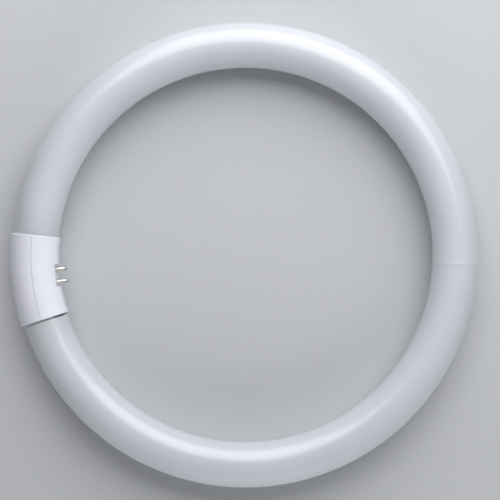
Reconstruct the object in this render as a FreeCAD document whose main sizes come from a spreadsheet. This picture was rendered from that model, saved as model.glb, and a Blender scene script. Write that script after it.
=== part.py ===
# Circular fluorescent tube, 300 mm class, with a two-piece moulded cap and four contact pins.
# Millimetres. The ring lies in the XY plane with its centre at the origin and its axis along +Z.
# The cap is centred on -X, and the pins stand on its inner side and point along +X.
import FreeCAD
import Part
import Sketcher
import math
import os

sizes = {
    # glass tube
    "ring_radius": 135.0,         # centreline of the bent tube
    "tube_diameter": 29.0,
    "glass_wall": 0.9,
    "end_gap": 22.0,              # between the rims of the tube's two ends, inside the cap
    "neck_entry": 0.3,            # from the cap's mouth to where the tube starts to narrow
    "neck_step": 1.2,             # how much the neck's radius is smaller than the tube's
    "neck_slope": 1.9,            # length of the shoulder between tube and neck
    "rim_round": 5.0,             # rounding of the neck into its rim
    "flare_radius": 4.7,          # air side of the stem tube that runs back into the neck
    "flare_depth": 14.0,          # from the rim to the press
    "press_length": 8.0,
    "press_end_radius": 3.2,
    "tip_radius": 1.8,            # sealed exhaust tube in the middle of the stem
    "tip_length": 8.0,
    "bead_azimuth": -8.6,         # fine bead round the glass, nearly opposite the cap
    "bead_width": 2.0,
    "bead_height": 0.08,
    # cap
    "cap_length": 54.5,           # along the tube's centreline
    "cap_proud": 1.2,             # how much the cap's radius is larger than the tube's
    "cap_shift": 0.5,             # the cap's section sits this far outside the tube's centreline
    "cap_wall": 1.3,
    "lip_width": 3.2,             # full round collar at each mouth
    "mouth_depth": 2.4,           # bore that takes the tube at its full diameter
    "mouth_clearance": 0.15,
    "band_wall": 1.15,            # wall under the flat band on the inner side
    "cap_edge_round": 0.5,
    "rib_thickness": 1.5,
    "rib_clearance": 0.15,
    # joint between the two shells
    "seam_gap": 0.12,
    "tongue_reach": 1.0,
    "tongue_root": 2.0,
    "fit_gap": 0.08,
    "hook_width": 6.0,
    "hook_thickness": 1.2,
    "hook_root_start": 1.0,
    "hook_root_width": 2.0,
    "barb_height": 0.7,
    "barb_length": 1.4,
    "ledge_start": 2.0,
    "ledge_thickness": 1.4,
    "ledge_depth": 1.8,
    "hook_clearance": 0.15,
    # recess and contact pins
    "recess_length": 14.0,
    "recess_depth": 1.6,          # below the band
    "platform_wall": 1.8,
    "seat_thickness": 1.4,        # platform left between a pin's flange and its bead
    "pin_spacing_along": 7.92,    # along the ring
    "pin_spacing_up": 6.35,       # along the ring's axis
    "pin_diameter": 2.36,
    "pin_length": 6.9,
    "pin_tip_height": 0.8,
    "pin_bead_diameter": 3.4,
    "pin_bead_height": 0.35,
    "pin_shank_diameter": 2.8,
    "pin_flange_diameter": 4.0,
    "pin_flange_thickness": 0.6,
    "pin_tail_diameter": 2.0,
    "pin_tail_length": 3.0,
    "pin_bore_stop": 1.0,         # the tail's bore ends this far behind the platform's face
    "pin_hole_clearance": 0.05,
    # lead wires and their sleeves
    "wire_diameter": 0.6,
    "wire_clearance": 0.05,
    "wire_bend_radius": 3.0,
    "sleeve_diameter": 1.6,
    "sleeve_start": 2.5,          # from the press to where a sleeve begins
    "sleeve_end": 0.3,            # from a sleeve's end to the pin's tail
}

out_folder = "parts"
doc = FreeCAD.newDocument("CircularTube")


class Formula:
    # A size worked out from cells of the sheet: the words of its expression, and its value.

    def __init__(self, words, value):
        self.words = words
        self.value = value

    def __add__(self, other):
        other = formula(other)
        return Formula(f"({self.words} + {other.words})", self.value + other.value)

    def __sub__(self, other):
        other = formula(other)
        return Formula(f"({self.words} - {other.words})", self.value - other.value)

    def __mul__(self, other):
        other = formula(other)
        return Formula(f"({self.words} * {other.words})", self.value * other.value)

    def __truediv__(self, other):
        other = formula(other)
        return Formula(f"({self.words} / {other.words})", self.value / other.value)

    def __neg__(self):
        return Formula(f"(0 - {self.words})", -self.value)


def formula(number):
    return number if isinstance(number, Formula) else Formula(repr(float(number)), float(number))


def root(term):
    return Formula(f"sqrt({term.words})", math.sqrt(term.value))


def sine(degrees):
    return Formula(f"sin({degrees.words} * 1 deg)", math.sin(math.radians(degrees.value)))


def cosine(degrees):
    return Formula(f"cos({degrees.words} * 1 deg)", math.cos(math.radians(degrees.value)))


def turn_of(arc_length, radius):
    # The angle in degrees that an arc length takes at a radius.
    return Formula(
        f"({arc_length.words} / {radius.words} * 180 / pi)",
        math.degrees(arc_length.value / radius.value),
    )


def fill_sheet():
    sheet = doc.addObject("Spreadsheet::Sheet", "Sizes")
    for row, (name, value) in enumerate(sizes.items(), start=1):
        sheet.set(f"A{row}", name)
        sheet.set(f"B{row}", str(value))
        sheet.setAlias(f"B{row}", name)
    doc.recompute()
    return {name: Formula(f"Sizes.{name}", float(sheet.get(name))) for name in sizes}


cell = fill_sheet()
ring_radius = cell["ring_radius"]
tube_radius = cell["tube_diameter"] / 2
neck_radius = tube_radius - cell["neck_step"]
half_cap = cell["cap_length"] / 2

# angles about the ring's axis, measured from the middle of the cap
cap_half_turn = turn_of(half_cap, ring_radius)
lip_turn = turn_of(cell["lip_width"], ring_radius)
mouth_turn = turn_of(cell["mouth_depth"], ring_radius)
bend_end_turn = turn_of(half_cap - cell["neck_entry"], ring_radius)
rim_turn = turn_of(cell["end_gap"] / 2, ring_radius)

# where the bent tube ends and its straight end begins, and how far that runs to its rim and press
bend_end_x = -ring_radius * cosine(bend_end_turn)
bend_end_y = ring_radius * sine(bend_end_turn)
rim_run = ring_radius * sine(bend_end_turn - rim_turn) / cosine(bend_end_turn - rim_turn)
press_run = rim_run - cell["flare_depth"]

# section of the cap, as distances from the ring's axis
cap_middle = ring_radius + cell["cap_shift"]
cap_radius = tube_radius + cell["cap_proud"]
cavity_radius = cap_radius - cell["cap_wall"]
wall_middle_radius = cap_radius - cell["cap_wall"] / 2
band_inside = ring_radius - neck_radius - cell["rib_clearance"]
band_outside = band_inside - cell["band_wall"]
platform_face = band_outside + cell["recess_depth"]
platform_back = platform_face + cell["platform_wall"]
platform_half_turn = turn_of(cell["recess_length"] / 2 + cell["band_wall"], platform_face)

pin_along = cell["pin_spacing_along"] / 2
pin_up = cell["pin_spacing_up"] / 2
pin_tail_end = cell["seat_thickness"] + cell["pin_flange_thickness"] + cell["pin_tail_length"]
wire_radius = cell["wire_diameter"] / 2

sub_parts = []
axis_line = None  # stands for a coordinate of zero, held by the sketch's own axis
cap_azimuth = 180
whole_turn = 360
quarter_turn = 90
up = FreeCAD.Vector(0, 0, 1)


def bind(thing, setting, term):
    thing.setExpression(setting, term.words)


def new_body(name):
    body = doc.addObject("PartDesign::Body", name)
    body.Label = name
    sub_parts.append(body)
    return body


def origin_plane(body, role):
    return [part for part in body.Origin.OriginFeatures if part.Role == role][0]


def new_sketch(body, name, role):
    sketch = body.newObject("Sketcher::SketchObject", name)
    sketch.AttachmentSupport = (origin_plane(body, role), [""])
    sketch.MapMode = "FlatFace"
    return sketch


def axial_sketch(body, name, azimuth):
    # The plane holds the ring's axis: x runs outwards at an azimuth in degrees, y runs up.
    azimuth = formula(azimuth)
    sketch = new_sketch(body, name, "XZ_Plane")
    turned = FreeCAD.Rotation(FreeCAD.Vector(0, 1, 0), azimuth.value)
    sketch.AttachmentOffset = FreeCAD.Placement(FreeCAD.Vector(), turned)
    bind(sketch, ".AttachmentOffset.Rotation.Angle", azimuth)
    return sketch


def facing_sketch(body, name, distance):
    # The plane stands across X at a distance from the ring's axis towards the cap: x is +Y, y is up.
    sketch = new_sketch(body, name, "YZ_Plane")
    sketch.AttachmentOffset = FreeCAD.Placement(FreeCAD.Vector(0, 0, -distance.value), FreeCAD.Rotation())
    bind(sketch, ".AttachmentOffset.Base.z", -distance)
    return sketch


def flat_sketch(body, name, height):
    sketch = new_sketch(body, name, "XY_Plane")
    sketch.AttachmentOffset = FreeCAD.Placement(FreeCAD.Vector(0, 0, height.value), FreeCAD.Rotation())
    bind(sketch, ".AttachmentOffset.Base.z", height)
    return sketch


def tangent_sketch(body, name, azimuth):
    # Lies flat on the centreline at an azimuth: x runs along the tube, y towards the ring's axis.
    sketch = new_sketch(body, name, "XY_Plane")
    x, y = ring_radius * cosine(azimuth), ring_radius * sine(azimuth)
    heading = azimuth + quarter_turn
    place = FreeCAD.Vector(x.value, y.value, 0)
    sketch.AttachmentOffset = FreeCAD.Placement(place, FreeCAD.Rotation(up, heading.value))
    bind(sketch, ".AttachmentOffset.Base.x", x)
    bind(sketch, ".AttachmentOffset.Base.y", y)
    bind(sketch, ".AttachmentOffset.Rotation.Angle", heading)
    return sketch


def number_of(term):
    return 0.0 if term is axis_line else term.value


def centre_of(curve):
    # Sketcher numbers a curve's start 1, its end 2 and its centre 3.
    return curve, 3


def hold_across(sketch, point, x):
    # Sketcher numbers the origin -1, 1 and the vertical axis -2.
    if x is axis_line:
        sketch.addConstraint(Sketcher.Constraint("PointOnObject", *point, -2))
    else:
        rule = sketch.addConstraint(Sketcher.Constraint("DistanceX", -1, 1, *point, x.value))
        bind(sketch, f"Constraints[{rule}]", x)


def hold_up(sketch, point, y):
    # Sketcher numbers the origin -1, 1 and the horizontal axis -1.
    if y is axis_line:
        sketch.addConstraint(Sketcher.Constraint("PointOnObject", *point, -1))
    else:
        rule = sketch.addConstraint(Sketcher.Constraint("DistanceY", -1, 1, *point, y.value))
        bind(sketch, f"Constraints[{rule}]", y)


def hold_point(sketch, point, x, y):
    hold_across(sketch, point, x)
    hold_up(sketch, point, y)


def add_circle(sketch, x, y, radius):
    middle = FreeCAD.Vector(number_of(x), number_of(y), 0)
    circle = sketch.addGeometry(Part.Circle(middle, up, radius.value))
    hold_point(sketch, centre_of(circle), x, y)
    rule = sketch.addConstraint(Sketcher.Constraint("Radius", circle, radius.value))
    bind(sketch, f"Constraints[{rule}]", radius)


def arc_between(start, end, middle, left_turning):
    radius = (start - middle).Length
    first, last = (start, end) if left_turning else (end, start)
    angles = [math.atan2(point.y - middle.y, point.x - middle.x) for point in (first, last)]
    return Part.ArcOfCircle(Part.Circle(middle, up, radius), *angles)


def add_path(sketch, corners, closed=True):
    # Each corner is (x, y), reached by a line, or (x, y, (centre x, centre y), "left" or "right"),
    # reached by an arc that turns that way.
    spots = [FreeCAD.Vector(number_of(corner[0]), number_of(corner[1]), 0) for corner in corners]
    steps = list(range(1, len(corners))) + ([0] if closed else [])
    edges = []
    for step in steps:
        start, end = spots[step - 1], spots[step]
        if len(corners[step]) == 2:
            edge = sketch.addGeometry(Part.LineSegment(start, end))
            edges.append((edge, 1, 2))
            continue
        (middle_x, middle_y), side = corners[step][2:]
        middle = FreeCAD.Vector(number_of(middle_x), number_of(middle_y), 0)
        left_turning = side == "left"
        edge = sketch.addGeometry(arc_between(start, end, middle, left_turning))
        edges.append((edge, 1, 2) if left_turning else (edge, 2, 1))
        if abs(end.y - start.y) >= abs(end.x - start.x):
            hold_across(sketch, centre_of(edge), middle_x)
        else:
            hold_up(sketch, centre_of(edge), middle_y)
    for step, (edge, first, last) in zip(steps, edges):
        hold_point(sketch, (edge, last), *corners[step][:2])
    if not closed:
        edge, first, last = edges[0]
        hold_point(sketch, (edge, first), *corners[0][:2])
    for before, after in zip(edges, edges[1:] + (edges[:1] if closed else [])):
        sketch.addConstraint(Sketcher.Constraint("Coincident", before[0], before[2], after[0], after[1]))


def add_rectangle(sketch, x_low, x_high, y_low, y_high):
    add_path(sketch, [(x_low, y_low), (x_high, y_low), (x_high, y_high), (x_low, y_high)])


def turned(body, name, kind, sketch, axis="V_Axis", angle=None):
    # kind is Revolution, which adds, or Groove, which cuts. An angle is shared to both sides.
    feature = body.newObject(f"PartDesign::{kind}", name)
    feature.Profile = sketch
    feature.ReferenceAxis = (sketch, [axis])
    if angle is None:
        feature.Angle = whole_turn
    else:
        feature.Midplane = True
        bind(feature, "Angle", angle)
    return feature


def pocketed(body, name, sketch, depth, outwards):
    # Cuts along X from a facing sketch: outwards is away from the ring's axis, into the cap.
    feature = body.newObject("PartDesign::Pocket", name)
    feature.Profile = sketch
    feature.Reversed = not outwards
    bind(feature, "Length", depth)
    return feature


def mirrored_along_ring(body, name, features):
    feature = body.newObject("PartDesign::Mirrored", name)
    feature.Originals = features
    feature.MirrorPlane = (origin_plane(body, "XZ_Plane"), [""])
    body.Tip = feature
    return feature


def make_glass_tube():
    body = new_body("glass_tube")
    section = axial_sketch(body, "TubeSection", whole_turn)
    add_circle(section, ring_radius, axis_line, tube_radius)
    add_circle(section, ring_radius, axis_line, tube_radius - cell["glass_wall"])
    turned(body, "BentTube", "Revolution", section, angle=formula(whole_turn) - bend_end_turn * 2)

    turned(body, "Bead", "Revolution", bead_profile(body), axis="H_Axis")
    tube_end = turned(body, "TubeEnd", "Revolution", end_profile(body), axis="H_Axis")
    mirrored_along_ring(body, "OtherTubeEnd", [tube_end])


def bead_profile(body):
    # A low arc over the tube's surface, carried down into the middle of the wall.
    sketch = tangent_sketch(body, "BeadProfile", cell["bead_azimuth"])
    half_width, height = cell["bead_width"] / 2, cell["bead_height"]
    crown = (half_width * half_width + height * height) / (height * 2)
    arc_middle = tube_radius + height - crown
    inside = tube_radius - cell["glass_wall"] / 2
    half_chord = root(crown * crown - (inside - arc_middle) * (inside - arc_middle))
    add_path(sketch, [
        (half_chord, inside),
        (-half_chord, inside, (axis_line, arc_middle), "left"),
    ])
    return sketch


def end_profile(body):
    # Half section of a tube end, turned about the tube's own line: x runs out to the rim, y is the radius.
    # The wall narrows to the neck, rounds over at the rim and comes back in as the stem, down to the press.
    sketch = tangent_sketch(body, "EndProfile", formula(cap_azimuth) - bend_end_turn)
    wall, step, slope = cell["glass_wall"], cell["neck_step"], cell["neck_slope"]
    sweep = (slope * slope + step * step) / (step * 4)  # radius of the shoulder's two equal arcs
    turn_over = rim_run - cell["rim_round"]
    rim_middle = neck_radius - cell["rim_round"]
    mouth = rim_middle - wall
    flare_turn = rim_run - (mouth - cell["flare_radius"])
    stem_outside = cell["flare_radius"] + wall
    tip_end = press_run + cell["tip_length"]
    tip_turn = tip_end - cell["tip_radius"]
    inner_neck, inner_tube = neck_radius - wall, tube_radius - wall
    half_slope, half_step = slope / 2, step / 2

    add_path(sketch, [
        (axis_line, tube_radius),
        (half_slope, tube_radius - half_step, (axis_line, tube_radius - sweep), "right"),
        (slope, neck_radius, (slope, neck_radius + sweep), "left"),
        (turn_over, neck_radius),
        (rim_run, rim_middle, (turn_over, rim_middle), "right"),
        (rim_run, mouth),
        (flare_turn, cell["flare_radius"], (flare_turn, mouth), "right"),
        (press_run, cell["flare_radius"]),
        (press_run, cell["tip_radius"]),
        (tip_turn, cell["tip_radius"]),
        (tip_end, axis_line, (tip_turn, axis_line), "right"),
        (press_run - cell["press_length"], axis_line),
        (press_run - cell["press_length"], cell["press_end_radius"]),
        (press_run, stem_outside),
        (flare_turn, stem_outside),
        (rim_run - wall, mouth, (flare_turn, mouth), "left"),
        (rim_run - wall, rim_middle),
        (turn_over, inner_neck, (turn_over, rim_middle), "left"),
        (slope, inner_neck),
        (half_slope, inner_tube - half_step, (slope, inner_neck + sweep), "right"),
        (axis_line, inner_tube, (axis_line, inner_tube - sweep), "left"),
    ])
    return sketch


def add_cut_circle(sketch, radius, chord):
    # A disc of the cap's section with the side nearest the ring's axis cut off at a chord.
    reach = cap_middle - chord
    height = root(radius * radius - reach * reach)
    add_path(sketch, [
        (chord, height),
        (chord, -height, (cap_middle, axis_line), "right"),
    ])


def make_cap_blank(body):
    # What both shells share: the hollow cap with its mouths, ribs and flat band.
    outside = axial_sketch(body, "CapSection", cap_azimuth)
    add_circle(outside, cap_middle, axis_line, cap_radius)
    turned(body, "CapBlank", "Revolution", outside, angle=cap_half_turn * 2)

    chamber = axial_sketch(body, "ChamberSection", cap_azimuth)
    add_cut_circle(chamber, cavity_radius, platform_back)
    turned(body, "Chamber", "Groove", chamber, angle=(cap_half_turn - mouth_turn) * 2)

    side_width = cap_half_turn - mouth_turn - platform_half_turn
    side = axial_sketch(body, "SideChamberSection", platform_half_turn + side_width / 2 + cap_azimuth)
    add_cut_circle(side, cavity_radius, band_inside)
    side_chamber = turned(body, "SideChamber", "Groove", side, angle=side_width)

    mouth_section = axial_sketch(body, "MouthSection", cap_half_turn + cap_azimuth)
    add_circle(mouth_section, ring_radius, axis_line, tube_radius + cell["mouth_clearance"])
    mouth = turned(body, "Mouth", "Groove", mouth_section, angle=mouth_turn * 2)

    ribs = [make_rib(body, number, share) for number, share in ((1, 1 / 3), (2, 2 / 3))]
    mirrored_along_ring(body, "OtherEnd", [side_chamber, mouth] + ribs)

    band = axial_sketch(body, "BandSection", cap_azimuth)
    add_rectangle(band, cap_middle - cap_radius * 1.1, band_outside, -cavity_radius, cavity_radius)
    turned(body, "Band", "Groove", band, angle=(cap_half_turn - lip_turn) * 2)


def make_rib(body, number, share):
    # A rib that holds the straight neck, which leaves the ring's centreline as it nears its rim.
    slope_end = bend_end_turn - turn_of(cell["neck_slope"], ring_radius)
    round_start = rim_turn + turn_of(cell["rim_round"], ring_radius)
    place = round_start + (slope_end - round_start) * share
    sketch = axial_sketch(body, f"RibSection{number}", place + cap_azimuth)
    neck_middle = ring_radius / cosine(bend_end_turn - place)
    add_circle(sketch, cap_middle, axis_line, wall_middle_radius)
    add_circle(sketch, neck_middle, axis_line, neck_radius + cell["rib_clearance"])
    return turned(body, f"Rib{number}", "Revolution", sketch, angle=turn_of(cell["rib_thickness"], ring_radius))


def part_shell(body, name, near, far):
    # Takes the other shell's half of the cap away, between two distances from the ring's axis.
    sketch = axial_sketch(body, f"{name}Section", cap_azimuth)
    beyond = cap_radius * 1.1
    add_rectangle(sketch, near, far, -beyond, beyond)
    turned(body, name, "Groove", sketch, angle=(cap_half_turn + lip_turn) * 2)


def add_strips(sketch, near, far, low, high):
    # The same rectangle above and below the ring's plane.
    add_rectangle(sketch, near, far, low, high)
    add_rectangle(sketch, near, far, -high, -low)


def add_hook(sketch, side):
    clearance = cell["hook_clearance"]
    arm_top = cavity_radius - cell["ledge_depth"] - clearance
    arm_low = arm_top - cell["hook_thickness"]
    root_near = cap_middle - cell["hook_root_start"]
    root_far = root_near - cell["hook_root_width"]
    barb_back = cap_middle + cell["ledge_start"] + cell["ledge_thickness"] + clearance
    barb_tip = barb_back + cell["barb_length"]
    corners = [
        (root_far, arm_low),
        (barb_tip, arm_low),
        (barb_tip, arm_top - cell["hook_thickness"] / 2),
        (barb_back, arm_top + cell["barb_height"]),
        (barb_back, arm_top),
        (root_near, arm_top),
        (root_near, wall_middle_radius),
        (root_far, wall_middle_radius),
    ]
    add_path(sketch, [(x, y * side) for x, y in corners])


def round_mouth_edges(body):
    # The outer edge of each mouth.
    blank = body.Tip
    doc.recompute()
    half_turn = math.radians(cap_half_turn.value)
    names = []
    for number, edge in enumerate(blank.Shape.Edges, start=1):
        middle = edge.valueAt((edge.FirstParameter + edge.LastParameter) / 2)
        azimuth = abs(math.atan2(middle.y, -middle.x))
        from_middle = math.hypot(math.hypot(middle.x, middle.y) - cap_middle.value, middle.z)
        if abs(azimuth - half_turn) < 1e-6 and abs(from_middle - cap_radius.value) < 1e-4:
            names.append(f"Edge{number}")
    fillet = body.newObject("PartDesign::Fillet", "MouthEdge")
    fillet.Base = (blank, names)
    bind(fillet, "Radius", cell["cap_edge_round"])


def make_cap_inner_shell():
    body = new_body("cap_inner_shell")
    make_cap_blank(body)
    seam_edge = cap_middle - cell["seam_gap"] / 2
    part_shell(body, "PartingCut", seam_edge, cap_middle + cap_radius * 1.1)

    tongue = axial_sketch(body, "TongueSection", cap_azimuth)
    tongue_top = wall_middle_radius - cell["fit_gap"]
    tongue_start = cap_middle - cell["tongue_root"]
    add_strips(tongue, tongue_start, cap_middle + cell["tongue_reach"], cavity_radius, tongue_top)
    turned(body, "Tongue", "Revolution", tongue, angle=(cap_half_turn - lip_turn) * 2)

    hooks = axial_sketch(body, "HookSection", cap_azimuth)
    add_hook(hooks, 1)
    add_hook(hooks, -1)
    turned(body, "Hooks", "Revolution", hooks, angle=turn_of(cell["hook_width"], cap_middle))

    recess = facing_sketch(body, "RecessOutline", platform_face)
    half_length = cell["recess_length"] / 2
    add_rectangle(recess, -half_length, half_length, -cavity_radius, cavity_radius)
    pocketed(body, "Recess", recess, cell["recess_depth"] * 2, outwards=False)

    holes = facing_sketch(body, "PinHoles", platform_face)
    seats = facing_sketch(body, "PinSeats", platform_face + cell["seat_thickness"])
    for along in (pin_along, -pin_along):
        for height in (pin_up, -pin_up):
            add_circle(holes, along, height, cell["pin_shank_diameter"] / 2 + cell["pin_hole_clearance"])
            add_circle(seats, along, height, cell["pin_flange_diameter"] / 2 + cell["pin_hole_clearance"])
    pocketed(body, "PinHole", holes, cell["platform_wall"] * 1.5, outwards=True)
    pocketed(body, "PinSeat", seats, cell["platform_wall"], outwards=True)
    round_mouth_edges(body)


def make_cap_outer_shell():
    body = new_body("cap_outer_shell")
    make_cap_blank(body)
    seam_edge = cap_middle + cell["seam_gap"] / 2
    part_shell(body, "PartingCut", cap_middle - cap_radius * 1.1, seam_edge)

    rebate = axial_sketch(body, "RebateSection", cap_azimuth)
    rebate_end = cap_middle + cell["tongue_reach"] + cell["fit_gap"]
    rebate_start = cap_middle - cell["seam_gap"]
    add_strips(rebate, rebate_start, rebate_end, cavity_radius - cell["fit_gap"], wall_middle_radius)
    turned(body, "Rebate", "Groove", rebate, angle=(cap_half_turn - lip_turn) * 2)

    ledges = axial_sketch(body, "LedgeSection", cap_azimuth)
    ledge_near = cap_middle + cell["ledge_start"]
    ledge_far = ledge_near + cell["ledge_thickness"]
    add_strips(ledges, ledge_near, ledge_far, cavity_radius - cell["ledge_depth"], wall_middle_radius)
    turned(body, "Ledges", "Revolution", ledges, angle=turn_of(cell["hook_width"] * 1.5, cap_middle))
    round_mouth_edges(body)


def make_contact_pin(number, along, height):
    # The body's own origin is where the pin leaves the platform's face.
    body = new_body(f"contact_pin_{number}")
    bind(body, ".Placement.Base.x", -platform_face)
    bind(body, ".Placement.Base.y", along)
    bind(body, ".Placement.Base.z", height)
    sketch = new_sketch(body, "PinProfile", "XY_Plane")
    seat = -cell["seat_thickness"]
    flange_back = seat - cell["pin_flange_thickness"]
    pin_radius = cell["pin_diameter"] / 2
    tip = cell["pin_tip_height"]
    crown = (pin_radius * pin_radius + tip * tip) / (tip * 2)
    shank_radius = cell["pin_shank_diameter"] / 2
    flange_radius = cell["pin_flange_diameter"] / 2
    bead_radius = cell["pin_bead_diameter"] / 2
    tail_radius = cell["pin_tail_diameter"] / 2
    bore_radius = wire_radius + cell["wire_clearance"]
    add_path(sketch, [
        (-pin_tail_end, tail_radius),
        (flange_back, tail_radius),
        (flange_back, flange_radius),
        (seat, flange_radius),
        (seat, shank_radius),
        (axis_line, shank_radius),
        (axis_line, bead_radius),
        (cell["pin_bead_height"], bead_radius),
        (cell["pin_bead_height"], pin_radius),
        (cell["pin_length"] - tip, pin_radius),
        (cell["pin_length"], axis_line, (cell["pin_length"] - crown, axis_line), "right"),
        (-cell["pin_bore_stop"], axis_line),
        (-cell["pin_bore_stop"], bore_radius),
        (-pin_tail_end, bore_radius),
    ])
    turned(body, "Pin", "Revolution", sketch, axis="H_Axis")


def make_lead(name, side, height, pin_stop, stem_start, radii):
    # A wire or sleeve in a plane at one height: along X from behind a pin, round one bend, and along the
    # straight tube end towards its press. side is 1 for the end on +Y and -1 for the end on -Y.
    body = new_body(name)
    bend = cell["wire_bend_radius"]
    corner_run = (bend_end_y - pin_along) / cosine(bend_end_turn)
    corner_x = bend_end_x - corner_run * sine(bend_end_turn)
    half_bend = (bend_end_turn + quarter_turn) / 2
    tangent = bend * sine(half_bend) / cosine(half_bend)

    route = flat_sketch(body, "Route", height)
    add_path(route, [
        (-pin_stop, pin_along * side),
        (corner_x + tangent, pin_along * side),
        (
            corner_x + tangent * sine(bend_end_turn),
            (pin_along + tangent * cosine(bend_end_turn)) * side,
            (corner_x + tangent, (pin_along + bend) * side),
            "right" if side > 0 else "left",
        ),
        (
            bend_end_x - stem_start * sine(bend_end_turn),
            (bend_end_y - stem_start * cosine(bend_end_turn)) * side,
        ),
    ], closed=False)
    section = facing_sketch(body, "Section", pin_stop)
    for radius in radii:
        add_circle(section, pin_along * side, height, radius)
    sweep = body.newObject("PartDesign::AdditivePipe", "Sweep")
    sweep.Profile = section
    sweep.Spine = route


def make_leads(number, side, height):
    make_lead(
        f"lead_wire_{number}", side, height,
        pin_stop=platform_face + cell["pin_bore_stop"],
        stem_start=press_run,
        radii=[wire_radius],
    )
    make_lead(
        f"wire_sleeve_{number}", side, height,
        pin_stop=platform_face + pin_tail_end + cell["sleeve_end"],
        stem_start=press_run + cell["sleeve_start"],
        radii=[cell["sleeve_diameter"] / 2, wire_radius + cell["wire_clearance"]],
    )


def check_and_write():
    doc.recompute()
    for thing in doc.Objects:
        faults = [state for state in thing.State if state in ("Invalid", "Error")]
        if faults:
            raise RuntimeError(f"{thing.Name} ({thing.Label}): {faults}")
    for body in sub_parts:
        if body.Shape.isNull() or not body.Shape.isValid() or len(body.Shape.Solids) != 1:
            raise RuntimeError(f"{body.Label} is not one valid solid")
    os.makedirs(out_folder, exist_ok=True)
    for body in sub_parts:
        body.Shape.exportStep(os.path.join(out_folder, f"{body.Label}.step"))
        print(f"{body.Label}: {body.Shape.Volume:.1f} mm3")


make_glass_tube()
make_cap_inner_shell()
make_cap_outer_shell()
places = [(side, up_or_down) for side in (1, -1) for up_or_down in (1, -1)]
for number, (side, up_or_down) in enumerate(places, start=1):
    make_contact_pin(number, pin_along * side, pin_up * up_or_down)
    make_leads(number, side, pin_up * up_or_down)
check_and_write()
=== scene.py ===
# A circular fluorescent tube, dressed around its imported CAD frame.
# Metres, Z up: the ring lies round the origin in the XY plane, its cap on -X and its pins pointing along +X.
import math
import bmesh
import bpy
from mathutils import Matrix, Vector


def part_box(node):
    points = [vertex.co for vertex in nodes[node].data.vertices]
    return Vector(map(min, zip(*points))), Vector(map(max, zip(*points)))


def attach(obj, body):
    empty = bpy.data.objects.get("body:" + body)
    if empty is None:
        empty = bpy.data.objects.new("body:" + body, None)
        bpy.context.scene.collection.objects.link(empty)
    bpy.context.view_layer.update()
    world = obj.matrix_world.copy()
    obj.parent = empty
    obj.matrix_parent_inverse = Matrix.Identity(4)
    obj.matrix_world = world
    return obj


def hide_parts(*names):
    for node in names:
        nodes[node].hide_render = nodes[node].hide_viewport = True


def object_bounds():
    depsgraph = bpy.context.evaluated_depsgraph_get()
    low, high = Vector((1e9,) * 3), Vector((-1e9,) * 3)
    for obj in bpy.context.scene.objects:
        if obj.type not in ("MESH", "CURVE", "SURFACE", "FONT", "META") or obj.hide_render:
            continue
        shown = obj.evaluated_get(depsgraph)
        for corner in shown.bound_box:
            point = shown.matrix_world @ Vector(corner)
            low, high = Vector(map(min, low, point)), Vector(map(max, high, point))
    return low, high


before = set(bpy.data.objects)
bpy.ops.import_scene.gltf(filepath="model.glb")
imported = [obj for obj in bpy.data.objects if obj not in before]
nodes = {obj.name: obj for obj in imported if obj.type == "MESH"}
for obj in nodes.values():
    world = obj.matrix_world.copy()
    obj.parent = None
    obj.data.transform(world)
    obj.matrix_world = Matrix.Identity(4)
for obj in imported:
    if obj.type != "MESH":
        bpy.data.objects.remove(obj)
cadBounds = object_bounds()
mm = 0.001            # sizes below are given in millimetres and kept in metres
waveBands = 3.2       # bands that a wave texture draws in a metre at a scale of 1
smoothBelow = 30      # degrees between two faces that are still shaded as one surface
sameTurn = 1e-4       # radians: points this near round the ring are in the same section
print("loaded", len(nodes), "CAD nodes")


# shared by every material

def hexColor(code):
    # sRGB hex to the linear colour that the shader works in
    channels = [int(code[i:i + 2], 16) / 255 for i in (1, 3, 5)]
    return [c / 12.92 if c <= 0.04045 else ((c + 0.055) / 1.055) ** 2.4 for c in channels] + [1.0]


def addNode(tree, kind, inputs=None, **settings):
    # inputs holds fixed values, or the output sockets that they are linked from
    node = tree.nodes.new(kind)
    for name, value in settings.items():
        setattr(node, name, value)
    for name, value in (inputs or {}).items():
        if isinstance(value, bpy.types.NodeSocket):
            tree.links.new(value, node.inputs[name])
        else:
            node.inputs[name].default_value = value
    return node


def newMaterial(name, finish):
    # finish holds the shader's own fixed values
    material = bpy.data.materials.new(name)
    material.use_nodes = True
    tree = material.node_tree
    tree.nodes.clear()
    shader = addNode(tree, "ShaderNodeBsdfPrincipled", finish)
    addNode(tree, "ShaderNodeOutputMaterial", {"Surface": shader.outputs["BSDF"]})
    place = addNode(tree, "ShaderNodeTexCoord").outputs["Object"]
    return material, tree, shader, place


def setRamp(ramp, stops):
    elements = ramp.color_ramp.elements
    elements[0].position, elements[0].color = stops[0]
    elements[1].position, elements[1].color = stops[-1]
    for position, color in stops[1:-1]:
        elements.new(position).color = color
    return ramp.outputs["Color"]


def dress(cadNode, material):
    cadNode.data.materials.clear()
    cadNode.data.materials.append(material)


# shared by every modelled piece

def deselectAll():
    if bpy.context.mode != "OBJECT":
        bpy.ops.object.mode_set(mode="OBJECT")
    bpy.ops.object.select_all(action="DESELECT")


def selectPoints(piece, wanted):
    # In edit mode: picks the vertices whose place passes the test, and the edges and faces between them
    mesh = bmesh.from_edit_mesh(piece.data)
    for face in mesh.faces:
        face.select = False
    for edge in mesh.edges:
        edge.select = False
    for vertex in mesh.verts:
        vertex.select = wanted(vertex.co)
    mesh.select_flush_mode()
    bmesh.update_edit_mesh(piece.data)


def drawOut(start, heading, stations):
    # Draws the selected ring, which is the first station, out to the others and closes the last to a point
    for (lastRun, lastRadius), (run, radius) in zip(stations, stations[1:]):
        bpy.ops.mesh.extrude_region_move(TRANSFORM_OT_translate={"value": heading * (run - lastRun)})
        size = radius / lastRadius
        bpy.ops.transform.resize(value=(size, size, size), center_override=start + heading * run)
    bpy.ops.mesh.merge(type="CENTER")


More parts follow.
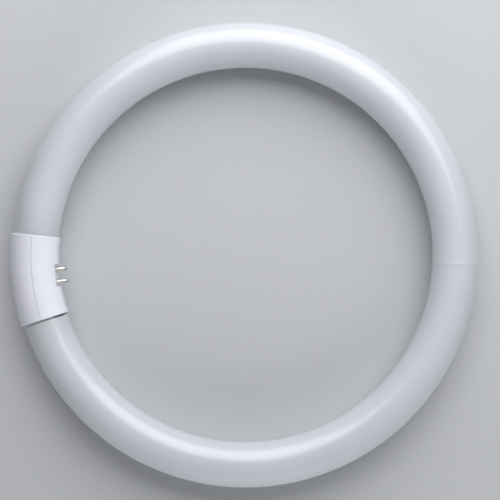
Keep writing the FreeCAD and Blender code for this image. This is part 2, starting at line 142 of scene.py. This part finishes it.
# the bent glass tube

bentGlass = {
    "ringRadius": 135 * mm,     # centreline of the bend
    "tubeRadius": 14.5 * mm,
    "wall": 0.9 * mm,
    "bendEnd": 26.95 * mm,      # along the centreline, from the middle of the cap to where the bend ends
    "rimHalfGap": 11 * mm,      # from the middle of the cap to each rim
    "neckStep": 1.2 * mm,       # the neck's radius is smaller than the tube's by this
    "neckSlope": 1.9 * mm,
    "rimRound": 5 * mm,
    "flareRadius": 4.7 * mm,    # funnel of the stem, open to the air
    "flareDepth": 14 * mm,
    "tipRadius": 1.8 * mm,      # sealed exhaust tube
    "tipLength": 8 * mm,
    "beadTurn": -8.6,           # degrees round from +X: a fine bead in the glass
    "beadWidth": 2.0 * mm,
    "beadHeight": 0.08 * mm,
    "beadSteps": 12,
    "facetsRound": 96,
    "facetTurn": 1.5,           # degrees of bend for each step
    "slopeSteps": 5,            # in each half of the shoulder
    "roundSteps": 8,            # in each quarter round of the ends

    "powder": "#D2D5DC",        # white phosphor powder, seen through the glass
    "powderThin": "#CED1D9",    # where its wash is a little thinner
    "endGreyAndBeadShade": "#B6B8BC",       # greyed by the electrode, next to the cap; also the tone of the painted shade below the bead
    "washCloud": 40 * mm,       # size of the wash's clouds
    "endReach": 24 * mm,        # how far the grey runs out from the cap
    "endShare": 0.4,
    "beadShadeWidth": 0.5 * mm,    # painted shade along the bead's lower side, which faces away from the light
    "beadShadeOffset": 0.5 * mm,
    "beadShadeShare": 0.35,
    "mouthShadowTone": "#121315",      # painted shadow, cast by the cap's lower mouth onto the glass beside it
    "mouthShadowReach": 2.0 * mm,      # how far the painted shadow runs out from the mouth, and how far it is at full strength
    "mouthShadowFull": 1.3 * mm,
    "mouthShadowInner": 130 * mm,      # from the ring's axis: full painted shadow up to here, and none from the next
    "mouthShadowOuter": 152 * mm,
    "shadowPatch": 7 * mm,             # size of the uneven patches in the painted shadow
    "shadowPatchLeast": 0.6,
    "drawnWave": 70 * mm,       # slow waves left by bending the hot tube
    "waveHeight": 0.05 * mm,
    "powderRoughness": 0.42,
    "glassRoughness": 0.24,
    "glassIor": 1.52,
}


def tubeEndStations():
    # (run, radius) from the end of the bend: shoulder, neck, rounded rim, funnel, press and sealed tip
    shape = bentGlass
    neck = shape["tubeRadius"] - shape["neckStep"]
    half = shape["neckSlope"] / 2
    sweep = (shape["neckSlope"] ** 2 + shape["neckStep"] ** 2) / (4 * shape["neckStep"])
    bendTurn = shape["bendEnd"] / shape["ringRadius"]
    rimRun = shape["ringRadius"] * math.tan(bendTurn - shape["rimHalfGap"] / shape["ringRadius"])
    rim, tip = shape["rimRound"], shape["tipRadius"]
    mouth = neck - rim - shape["wall"]
    curl = mouth - shape["flareRadius"]
    pressRun = rimRun - shape["flareDepth"]
    tipTurn = pressRun + shape["tipLength"] - tip
    quarter = [math.radians(90 * i / shape["roundSteps"]) for i in range(1, shape["roundSteps"] + 1)]
    slope = [half * i / shape["slopeSteps"] for i in range(1, shape["slopeSteps"] + 1)]
    stations = []
    for run in slope:
        stations.append((run, shape["tubeRadius"] - sweep + math.sqrt(sweep ** 2 - run ** 2)))
    for run in slope:
        left = half - run
        stations.append((shape["neckSlope"] - left, neck + sweep - math.sqrt(sweep ** 2 - left ** 2)))
    stations.append((rimRun - rim, neck))
    for a in quarter:
        stations.append((rimRun - rim * (1 - math.sin(a)), neck - rim * (1 - math.cos(a))))
    stations.append((rimRun, mouth))
    for a in quarter:
        stations.append((rimRun - curl * (1 - math.cos(a)), mouth - curl * math.sin(a)))
    stations += [(pressRun, shape["flareRadius"]), (pressRun, tip), (tipTurn, tip)]
    for a in quarter[:-1]:
        stations.append((tipTurn + tip * math.sin(a), tip * math.cos(a)))
    return stations


def closeTubeEnd(side):
    # From the selected end ring, along the straight end, towards the cap's middle
    shape = bentGlass
    turn = side * (math.pi - shape["bendEnd"] / shape["ringRadius"])
    start = Vector((math.cos(turn), math.sin(turn), 0)) * shape["ringRadius"]
    heading = Vector((-math.sin(turn), math.cos(turn), 0)) * side
    drawOut(start, heading, [(0.0, shape["tubeRadius"])] + tubeEndStations())


def makeGlassRing():
    shape = bentGlass
    ends = math.pi - shape["bendEnd"] / shape["ringRadius"]
    bead = math.radians(shape["beadTurn"])
    beadReach = shape["beadWidth"] / 2 / shape["ringRadius"]
    stretches = [
        (-ends, bead - beadReach, None),
        (bead - beadReach, bead + beadReach, shape["beadSteps"]),
        (bead + beadReach, ends, None),
    ]

    deselectAll()
    first = Vector((math.cos(-ends), math.sin(-ends), 0)) * shape["ringRadius"]
    bpy.ops.mesh.primitive_circle_add(
        vertices=shape["facetsRound"], radius=shape["tubeRadius"],
        location=first, rotation=(math.pi / 2, 0, -ends),
    )
    ring = bpy.context.object
    ring.name = "glassRing"
    bpy.ops.object.transform_apply(location=True, rotation=True, scale=True)
    bpy.ops.object.mode_set(mode="EDIT")
    bpy.ops.mesh.select_all(action="SELECT")
    for start, stop, steps in stretches:
        steps = steps or round(math.degrees(stop - start) / shape["facetTurn"])
        bpy.ops.mesh.spin(steps=steps, angle=start - stop, center=(0, 0, 0), axis=(0, 0, 1))
    closeTubeEnd(1)
    selectPoints(ring, lambda co: co.x < 0 and abs(math.atan2(co.y, co.x) + ends) < sameTurn)
    closeTubeEnd(-1)

    # the bead: a shallow arc across its width
    arc = (shape["beadWidth"] ** 2 / 4 + shape["beadHeight"] ** 2) / (2 * shape["beadHeight"])
    for i in range(1, shape["beadSteps"]):
        turn = bead + beadReach * (2 * i / shape["beadSteps"] - 1)
        across = (turn - bead) * shape["ringRadius"]
        rise = math.sqrt(arc ** 2 - across ** 2) - (arc - shape["beadHeight"])
        size = (shape["tubeRadius"] + rise) / shape["tubeRadius"]
        middle = Vector((math.cos(turn), math.sin(turn), 0)) * shape["ringRadius"]
        selectPoints(ring, lambda co: co.x > 0 and abs(math.atan2(co.y, co.x) - turn) < sameTurn)
        bpy.ops.transform.resize(value=(size, size, size), center_override=middle)

    bpy.ops.mesh.select_all(action="SELECT")
    bpy.ops.mesh.remove_doubles(threshold=0.001 * mm)
    bpy.ops.mesh.normals_make_consistent(inside=False)
    bpy.ops.object.mode_set(mode="OBJECT")
    bpy.ops.object.modifier_add(type="SOLIDIFY")
    wall = ring.modifiers[-1]
    wall.thickness, wall.offset = shape["wall"], -1  # inwards
    bpy.ops.object.modifier_apply(modifier=wall.name)
    bpy.ops.object.shade_smooth_by_angle(angle=math.radians(smoothBelow))
    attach(ring, "root")
    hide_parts("glass_tube")
    return ring


def makeCoatedGlass():
    # Soda-lime tube with phosphor powder washed on inside: a clear gloss over a soft matt white
    look = bentGlass
    material, tree, shader, place = newMaterial("powder_coated_glass", {
        "Roughness": look["powderRoughness"], "Specular IOR Level": 0.5,
        "Coat Weight": 1.0, "Coat Roughness": look["glassRoughness"], "Coat IOR": look["glassIor"],
    })
    wash = addNode(tree, "ShaderNodeTexNoise", {
        "Vector": place, "Scale": 1 / look["washCloud"], "Detail": 2.0, "Roughness": 0.5,
    })
    powder = setRamp(
        addNode(tree, "ShaderNodeValToRGB", {"Fac": wash.outputs["Fac"]}),
        [(0.3, hexColor(look["powderThin"])), (0.7, hexColor(look["powder"]))],
    )

    # turn round the ring from the cap's middle
    axes = addNode(tree, "ShaderNodeSeparateXYZ", {"Vector": place})
    back = addNode(tree, "ShaderNodeMath", {0: axes.outputs["X"], 1: -1.0}, operation="MULTIPLY")
    turn = addNode(tree, "ShaderNodeMath", {0: axes.outputs["Y"], 1: back.outputs[0]}, operation="ARCTAN2")
    spread = addNode(tree, "ShaderNodeMath", {0: turn.outputs[0]}, operation="ABSOLUTE")
    capEnd = look["bendEnd"] / look["ringRadius"]
    endGreyAndBeadShade = addNode(tree, "ShaderNodeMapRange", {
        "Value": spread.outputs[0],
        "From Min": capEnd, "From Max": capEnd + look["endReach"] / look["ringRadius"],
        "To Min": look["endShare"], "To Max": 0.0,
    }, interpolation_type="SMOOTHSTEP")
    ended = addNode(tree, "ShaderNodeMix", {
        0: endGreyAndBeadShade.outputs[0], 6: powder, 7: hexColor(look["endGreyAndBeadShade"]),
    }, data_type="RGBA")

    # painted shade: a darker line just below the bead, standing in for the shade on its lower slope
    beadShadeTurn = math.radians(look["beadTurn"]) - look["beadShadeOffset"] / look["ringRadius"]
    across = addNode(tree, "ShaderNodeMapping", {"Vector": place, "Rotation": (0, 0, -beadShadeTurn)})
    offLine = addNode(tree, "ShaderNodeSeparateXYZ", {"Vector": across.outputs[0]})
    distance = addNode(tree, "ShaderNodeMath", {0: offLine.outputs["Y"]}, operation="ABSOLUTE")
    line = addNode(tree, "ShaderNodeMapRange", {
        "Value": distance.outputs[0], "From Min": 0.0, "From Max": look["beadShadeWidth"],
        "To Min": look["beadShadeShare"], "To Max": 0.0,
    }, interpolation_type="SMOOTHSTEP")
    onSide = addNode(tree, "ShaderNodeMath", {0: offLine.outputs["X"], 1: 0.0}, operation="GREATER_THAN")
    share = addNode(tree, "ShaderNodeMath", {0: line.outputs[0], 1: onSide.outputs[0]}, operation="MULTIPLY")
    beadShaded = addNode(tree, "ShaderNodeMix", {
        0: share.outputs[0], 6: ended.outputs[2], 7: hexColor(look["endGreyAndBeadShade"]),
    }, data_type="RGBA")

    # painted shadow: a dark line on the glass at the cap's lower mouth, the end away from the key light,
    # darkest on the ring's inner half
    mouthShadow = addNode(tree, "ShaderNodeMapRange", {
        "Value": spread.outputs[0],
        "From Min": capEnd + look["mouthShadowFull"] / look["ringRadius"],
        "From Max": capEnd + look["mouthShadowReach"] / look["ringRadius"],
        "To Min": 1.0, "To Max": 0.0,
    }, interpolation_type="SMOOTHSTEP")
    outward = addNode(tree, "ShaderNodeVectorMath", {0: place}, operation="LENGTH")
    inner = addNode(tree, "ShaderNodeMapRange", {
        "Value": outward.outputs["Value"], "From Min": look["mouthShadowInner"], "From Max": look["mouthShadowOuter"],
        "To Min": 1.0, "To Max": 0.0,
    })
    shadowPatch = addNode(tree, "ShaderNodeTexNoise", {"Vector": place, "Scale": 1 / look["shadowPatch"], "Detail": 1.0})
    uneven = addNode(tree, "ShaderNodeMapRange", {
        "Value": shadowPatch.outputs["Fac"], "From Min": 0.35, "From Max": 0.65,
        "To Min": look["shadowPatchLeast"], "To Max": 1.0,
    })
    lowerEnd = addNode(tree, "ShaderNodeMath", {0: turn.outputs[0], 1: 0.0}, operation="LESS_THAN")
    mouthShadowShare = mouthShadow
    for limit in (inner, uneven, lowerEnd):
        both = {0: mouthShadowShare.outputs[0], 1: limit.outputs[0]}
        mouthShadowShare = addNode(tree, "ShaderNodeMath", both, operation="MULTIPLY")
    coated = addNode(tree, "ShaderNodeMix", {
        0: mouthShadowShare.outputs[0], 6: beadShaded.outputs[2], 7: hexColor(look["mouthShadowTone"]),
    }, data_type="RGBA")
    tree.links.new(coated.outputs[2], shader.inputs["Base Color"])

    wave = addNode(tree, "ShaderNodeTexNoise", {
        "Vector": place, "Scale": 1 / look["drawnWave"], "Detail": 0.0,
    })
    bump = addNode(tree, "ShaderNodeBump", {
        "Height": wave.outputs["Fac"], "Strength": 1.0, "Distance": look["waveHeight"],
    })
    tree.links.new(bump.outputs["Normal"], shader.inputs["Coat Normal"])
    return material


# the cap's two shells

capPlastic = {
    "white": "#EFF0FB",
    "flowWhite": "#EBECF7",   # faint flow clouds of the moulding
    "flowCloud": 18 * mm,
    "grain": 0.7 * mm,        # spark-eroded tool grain, drawn coarser than the real 0.1 mm so that it shows
    "grainHeight": 0.012 * mm,
    "edgeRound": 0.3 * mm,    # soft edges of the moulding
    "roughness": (0.34, 0.46),
}


def makeCapPlastic():
    # Glass-filled polyester, injection moulded in a spark-eroded tool: semi-gloss, soft at its edges
    look = capPlastic
    material, tree, shader, place = newMaterial("moulded_white_polyester", {
        "Specular IOR Level": 0.5, "IOR": 1.5,
    })
    flow = addNode(tree, "ShaderNodeTexNoise", {
        "Vector": place, "Scale": 1 / look["flowCloud"], "Detail": 2.0,
    })
    color = setRamp(
        addNode(tree, "ShaderNodeValToRGB", {"Fac": flow.outputs["Fac"]}),
        [(0.3, hexColor(look["flowWhite"])), (0.7, hexColor(look["white"]))],
    )
    tree.links.new(color, shader.inputs["Base Color"])
    grain = addNode(tree, "ShaderNodeTexNoise", {"Vector": place, "Scale": 1 / look["grain"], "Detail": 2.0})
    smooth, rough = look["roughness"]
    gloss = addNode(tree, "ShaderNodeMapRange", {
        "Value": grain.outputs["Fac"], "To Min": smooth, "To Max": rough,
    })
    tree.links.new(gloss.outputs[0], shader.inputs["Roughness"])
    edge = addNode(tree, "ShaderNodeBevel", {"Radius": look["edgeRound"]}, samples=6)
    bump = addNode(tree, "ShaderNodeBump", {
        "Height": grain.outputs["Fac"], "Strength": 1.0, "Distance": look["grainHeight"],
        "Normal": edge.outputs[0],
    })
    tree.links.new(bump.outputs["Normal"], shader.inputs["Normal"])
    return material


# the contact pins

contactPins = {
    # a run is measured from the cap's platform, towards the middle of the ring
    "boreBottom": -1.0 * mm,
    "boreRadius": 0.35 * mm,
    "tail": [(-5.0 * mm, 1.0 * mm), (-2.0 * mm, 1.0 * mm)],  # (run, radius) where each step starts and ends
    "flange": [(-2.0 * mm, 2.0 * mm), (-1.4 * mm, 2.0 * mm)],
    "shank": [(-1.4 * mm, 1.4 * mm), (0.0, 1.4 * mm)],
    "collar": [(0.0, 1.7 * mm), (0.35 * mm, 1.7 * mm)],
    "post": [(0.35 * mm, 1.18 * mm), (6.1 * mm, 1.18 * mm)],
    "pole": 6.9 * mm,
    "domeRadius": 1.27 * mm,
    "domeSteps": 9,
    "facets": 48,
    "edgeRound": 0.07 * mm,
    "edgeAbove": 40,          # degrees: sharper edges than this are rounded
    "nickel": "#D6D3CB",
    "wornNickel": "#B9B9B6",  # duller where holders have rubbed the dome
    "wornLength": (1.3 * mm, 1.69 * mm),  # wholly worn up to here from the tip, and bright from there
    "turning": 0.45 * mm,     # lathe rings, drawn coarser than the real 0.1 mm feed
    "turningHeight": 0.006 * mm,
    "roughness": (0.14, 0.42),  # bright, and worn
}


def pinStations():
    # (run, radius) from the bottom of the bore, out of the tail and along the outside to the dome
    shape = contactPins
    stations = [(shape["boreBottom"], shape["boreRadius"]), (shape["tail"][0][0], shape["boreRadius"])]
    for step in ("tail", "flange", "shank", "collar", "post"):
        stations += shape[step]
    dome = shape["domeRadius"]
    domeMiddle = shape["pole"] - dome
    first = math.asin((shape["post"][1][0] - domeMiddle) / dome)
    for i in range(1, shape["domeSteps"]):
        lean = first + (math.pi / 2 - first) * i / shape["domeSteps"]
        stations.append((domeMiddle + dome * math.sin(lean), dome * math.cos(lean)))
    return stations


def makeContactPins():
    # Turned round the axis from the bottom of the bore, once, and copied to the other three places
    shape = contactPins
    heading = Vector((1, 0, 0))
    low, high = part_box("contact_pin_1")
    face = (low + high) / 2
    face.x = high.x - shape["pole"]
    deselectAll()
    bpy.ops.mesh.primitive_circle_add(
        vertices=shape["facets"], radius=shape["boreRadius"], fill_type="NGON",
        location=face + heading * shape["boreBottom"], rotation=(0, math.pi / 2, 0),
    )
    firstPin = bpy.context.object
    firstPin.name = "contactPin1"
    bpy.ops.object.transform_apply(location=True, rotation=True, scale=True)
    bpy.ops.object.mode_set(mode="EDIT")
    bpy.ops.mesh.select_all(action="SELECT")
    drawOut(face, heading, pinStations())
    bpy.ops.mesh.select_all(action="SELECT")
    bpy.ops.mesh.normals_make_consistent(inside=False)
    bpy.ops.object.mode_set(mode="OBJECT")
    bpy.ops.object.shade_smooth_by_angle(angle=math.radians(smoothBelow))
    bpy.ops.object.modifier_add(type="BEVEL")
    edges = firstPin.modifiers[-1]
    edges.width, edges.segments = shape["edgeRound"], 2
    edges.limit_method, edges.angle_limit = "ANGLE", math.radians(shape["edgeAbove"])
    edges.harden_normals = True
    bpy.ops.object.modifier_apply(modifier=edges.name)

    pins = [firstPin]
    for number in (2, 3, 4):
        deselectAll()
        firstPin.select_set(True)
        bpy.context.view_layer.objects.active = firstPin
        bpy.ops.object.duplicate()
        pin = bpy.context.object
        pin.name = f"contactPin{number}"
        pin.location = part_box(f"contact_pin_{number}")[0] - low
        bpy.ops.object.transform_apply(location=True, rotation=True, scale=True)
        pins.append(pin)
    for number, pin in enumerate(pins, 1):
        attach(pin, "root")
        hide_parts(f"contact_pin_{number}")
    return pins


def makePinMetal():
    # Turned brass, nickel plated: warm bright metal with faint lathe rings, worn dull at the tip
    look = contactPins
    material, tree, shader, place = newMaterial("nickel_plated_brass", {"Metallic": 1.0})
    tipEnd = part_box("contact_pin_1")[1].x
    axes = addNode(tree, "ShaderNodeSeparateXYZ", {"Vector": place})
    wholly, ended = look["wornLength"]
    worn = addNode(tree, "ShaderNodeMapRange", {
        "Value": axes.outputs["X"], "From Min": tipEnd - ended, "From Max": tipEnd - wholly,
    }, interpolation_type="SMOOTHSTEP")
    color = addNode(tree, "ShaderNodeMix", {
        0: worn.outputs[0], 6: hexColor(look["nickel"]), 7: hexColor(look["wornNickel"]),
    }, data_type="RGBA")
    tree.links.new(color.outputs[2], shader.inputs["Base Color"])
    bright, dull = look["roughness"]
    gloss = addNode(tree, "ShaderNodeMapRange", {"Value": worn.outputs[0], "To Min": bright, "To Max": dull})
    tree.links.new(gloss.outputs[0], shader.inputs["Roughness"])
    rings = addNode(tree, "ShaderNodeTexWave", {
        "Vector": place, "Scale": 1 / look["turning"] / waveBands, "Distortion": 0.6, "Detail": 1.0,
    }, bands_direction="X")
    bump = addNode(tree, "ShaderNodeBump", {
        "Height": rings.outputs["Fac"], "Strength": 1.0, "Distance": look["turningHeight"],
    })
    tree.links.new(bump.outputs["Normal"], shader.inputs["Normal"])
    return material


# the leads inside the cap

leadWires = {
    "metal": "#BDB9B2",
    "drawLines": 0.15 * mm,
    "roughness": (0.28, 0.42),
}


def makeWireMetal():
    # Drawn nickel-iron wire: greyer than the pins, with fine draw lines
    look = leadWires
    material, tree, shader, place = newMaterial("drawn_nickel_iron_wire", {
        "Base Color": hexColor(look["metal"]), "Metallic": 1.0,
    })
    lines = addNode(tree, "ShaderNodeTexNoise", {
        "Vector": place, "Scale": 1 / look["drawLines"], "Detail": 1.0,
    })
    smooth, rough = look["roughness"]
    gloss = addNode(tree, "ShaderNodeMapRange", {
        "Value": lines.outputs["Fac"], "To Min": smooth, "To Max": rough,
    })
    tree.links.new(gloss.outputs[0], shader.inputs["Roughness"])
    return material


fibreSleeves = {
    "fibre": "#DEDACB",
    "shadow": "#B9B4A2",      # between the yarns
    "braid": 0.8 * mm,        # from yarn to yarn
    "braidHeight": 0.05 * mm,
    "lean": 45,               # degrees of each set of yarns
}


def makeSleeveFibre():
    # Braided glass-fibre sleeving: matt, off-white, with two crossing sets of yarns
    look = fibreSleeves
    material, tree, shader, place = newMaterial("braided_glass_fibre", {
        "Roughness": 0.9, "Sheen Weight": 0.2, "Specular IOR Level": 0.3,
    })
    yarns = []
    for lean in (look["lean"], -look["lean"]):
        turned = addNode(tree, "ShaderNodeMapping", {
            "Vector": place, "Rotation": (0, 0, math.radians(lean)),
        })
        yarns.append(addNode(tree, "ShaderNodeTexWave", {
            "Vector": turned.outputs[0], "Scale": 1 / look["braid"] / waveBands,
        }, bands_direction="X").outputs["Fac"])
    braid = addNode(tree, "ShaderNodeMath", {0: yarns[0], 1: yarns[1]}, operation="MAXIMUM")
    color = setRamp(
        addNode(tree, "ShaderNodeValToRGB", {"Fac": braid.outputs[0]}),
        [(0.2, hexColor(look["shadow"])), (0.8, hexColor(look["fibre"]))],
    )
    tree.links.new(color, shader.inputs["Base Color"])
    bump = addNode(tree, "ShaderNodeBump", {
        "Height": braid.outputs[0], "Strength": 1.0, "Distance": look["braidHeight"],
    })
    tree.links.new(bump.outputs["Normal"], shader.inputs["Normal"])
    return material


# floor, light and camera

backdropTone = {"color": "#C6C8CB", "strength": 1.0}

floorPaper = {
    "side": 12.0,             # metres
    "tone": "#CCCED1",
    "feltTone": "#C8CACD",
    "felt": 1.5 * mm,
    "fadeStart": 0.24,        # metres from the ring's centre, where the paper starts to meet the backdrop
    "fadeEnd": 0.75,
}


def seenRays(tree):
    # 1 for the rays that show a background: the camera's, and those in gloss and glass
    ray = addNode(tree, "ShaderNodeLightPath")
    seen = ray.outputs["Is Camera Ray"]
    for kind in ("Is Glossy Ray", "Is Transmission Ray"):
        either = addNode(tree, "ShaderNodeMath", {0: seen, 1: ray.outputs[kind]}, operation="MAXIMUM")
        seen = either.outputs[0]
    return seen


def makeFloor():
    # Matt backdrop paper: pale, with a faint felt, fading into an even backdrop far from the ring
    look = floorPaper
    material, tree, shader, place = newMaterial("matt_backdrop_paper", {
        "Roughness": 0.9, "Specular IOR Level": 0.2,
    })
    felt = addNode(tree, "ShaderNodeTexNoise", {"Vector": place, "Scale": 1 / look["felt"], "Detail": 2.0})
    color = setRamp(
        addNode(tree, "ShaderNodeValToRGB", {"Fac": felt.outputs["Fac"]}),
        [(0.3, hexColor(look["feltTone"])), (0.7, hexColor(look["tone"]))],
    )
    tree.links.new(color, shader.inputs["Base Color"])
    away = addNode(tree, "ShaderNodeVectorMath", {0: place}, operation="LENGTH")
    fade = addNode(tree, "ShaderNodeMapRange", {
        "Value": away.outputs["Value"], "From Min": look["fadeStart"], "From Max": look["fadeEnd"],
    }, interpolation_type="SMOOTHSTEP")
    share = addNode(tree, "ShaderNodeMath", {0: fade.outputs[0], 1: seenRays(tree)}, operation="MULTIPLY")
    sweep = addNode(tree, "ShaderNodeEmission", {
        "Color": hexColor(backdropTone["color"]), "Strength": backdropTone["strength"],
    })
    swept = addNode(tree, "ShaderNodeMixShader", {
        0: share.outputs[0], 1: shader.outputs[0], 2: sweep.outputs[0],
    })
    output = [node for node in tree.nodes if node.type == "OUTPUT_MATERIAL"][0]
    tree.links.new(swept.outputs[0], output.inputs["Surface"])
    deselectAll()
    bpy.ops.mesh.primitive_plane_add(size=look["side"], location=(0, 0, cadBounds[0].z))
    floor = bpy.context.object
    floor.name = "floorPaper"
    floor.data.materials.append(material)


studioLight = {
    # turn round from +X and rise above the floor in degrees, sizes in metres, power in watts
    "keySoftbox": {"turn": 71, "rise": 42, "distance": 0.85, "width": 1.2, "height": 0.9, "power": 11.0},
    "fillSoftbox": {"turn": -90, "rise": 15, "distance": 1.2, "width": 1.0, "height": 0.7, "power": 7.8},
    "ambient": "#EDF0F6",
    "ambientStrength": 0.10,
}


def addSoftbox(name, turn, rise, distance, width, height, power):
    data = bpy.data.lights.new(name, "AREA")
    data.shape = "RECTANGLE"
    data.size, data.size_y = width, height
    data.energy = power
    lamp = bpy.data.objects.new(name, data)
    bpy.context.scene.collection.objects.link(lamp)
    turn, rise = math.radians(turn), math.radians(rise)
    level = math.cos(rise)
    towards = Vector((level * math.cos(turn), level * math.sin(turn), math.sin(rise)))
    lamp.location = towards * distance
    lamp.rotation_euler = towards.to_track_quat("Z", "Y").to_euler()
    return lamp


def makeLight():
    addSoftbox("keySoftbox", **studioLight["keySoftbox"])
    fill = addSoftbox("fillSoftbox", **studioLight["fillSoftbox"])
    fill.visible_glossy = False  # lifts the shade without a second streak along the glass
    world = bpy.data.worlds.new("paleStudio")
    world.use_nodes = True
    tree = world.node_tree
    tree.nodes.clear()
    ambient = addNode(tree, "ShaderNodeBackground", {
        "Color": hexColor(studioLight["ambient"]), "Strength": studioLight["ambientStrength"],
    })
    backdrop = addNode(tree, "ShaderNodeBackground", {
        "Color": hexColor(backdropTone["color"]), "Strength": backdropTone["strength"],
    })
    both = addNode(tree, "ShaderNodeMixShader", {
        0: seenRays(tree), 1: ambient.outputs[0], 2: backdrop.outputs[0],
    })
    addNode(tree, "ShaderNodeOutputWorld", {"Surface": both.outputs[0]})
    bpy.context.scene.world = world


photoView = {
    "height": 0.860,          # metres above the ring's plane, looking straight down
    "lens": 96.2,             # millimetres, as is the sensor's width
    "sensor": 36.0,
    "nearest": 0.01,          # metres: where the camera starts to see
    "turn": -6.2,             # degrees: puts the cap a little below the picture's left
    "ringLeft": 3.0 * mm,     # the ring's centre shows this far left of the picture's middle
    "ringBelow": 3.2 * mm,
}


def makeCamera():
    data = bpy.data.cameras.new("photoCamera")
    data.lens = photoView["lens"]
    data.sensor_width = photoView["sensor"]
    data.clip_start = photoView["nearest"]
    camera = bpy.data.objects.new("photoCamera", data)
    bpy.context.scene.collection.objects.link(camera)
    turn = math.radians(photoView["turn"])
    right = Vector((math.cos(turn), math.sin(turn), 0))
    up = Vector((-math.sin(turn), math.cos(turn), 0))
    camera.location = right * photoView["ringLeft"] + up * photoView["ringBelow"]
    camera.location.z = photoView["height"]
    camera.rotation_euler = (0, 0, turn)
    bpy.context.scene.camera = camera


makeCamera()
makeLight()
makeFloor()
print("camera, light and floor ready")

glassRing = makeGlassRing()
glassRing.data.materials.append(makeCoatedGlass())
dress(nodes["glass_tube"], glassRing.data.materials[0])
print("glass ring bent and coated:", len(glassRing.data.polygons), "faces")

plastic = makeCapPlastic()
for name in ("cap_inner_shell", "cap_outer_shell"):
    dress(nodes[name], plastic)
print("cap moulded")

pinMetal = makePinMetal()
for number, pin in enumerate(makeContactPins(), 1):
    pin.data.materials.append(pinMetal)
    dress(nodes[f"contact_pin_{number}"], pinMetal)
print("four contact pins turned")

wireMetal, sleeveFibre = makeWireMetal(), makeSleeveFibre()
for number in range(1, 5):
    dress(nodes[f"lead_wire_{number}"], wireMetal)
    dress(nodes[f"wire_sleeve_{number}"], sleeveFibre)
print("wires and sleeves dressed")

bpy.context.scene.view_settings.view_transform = "Standard"
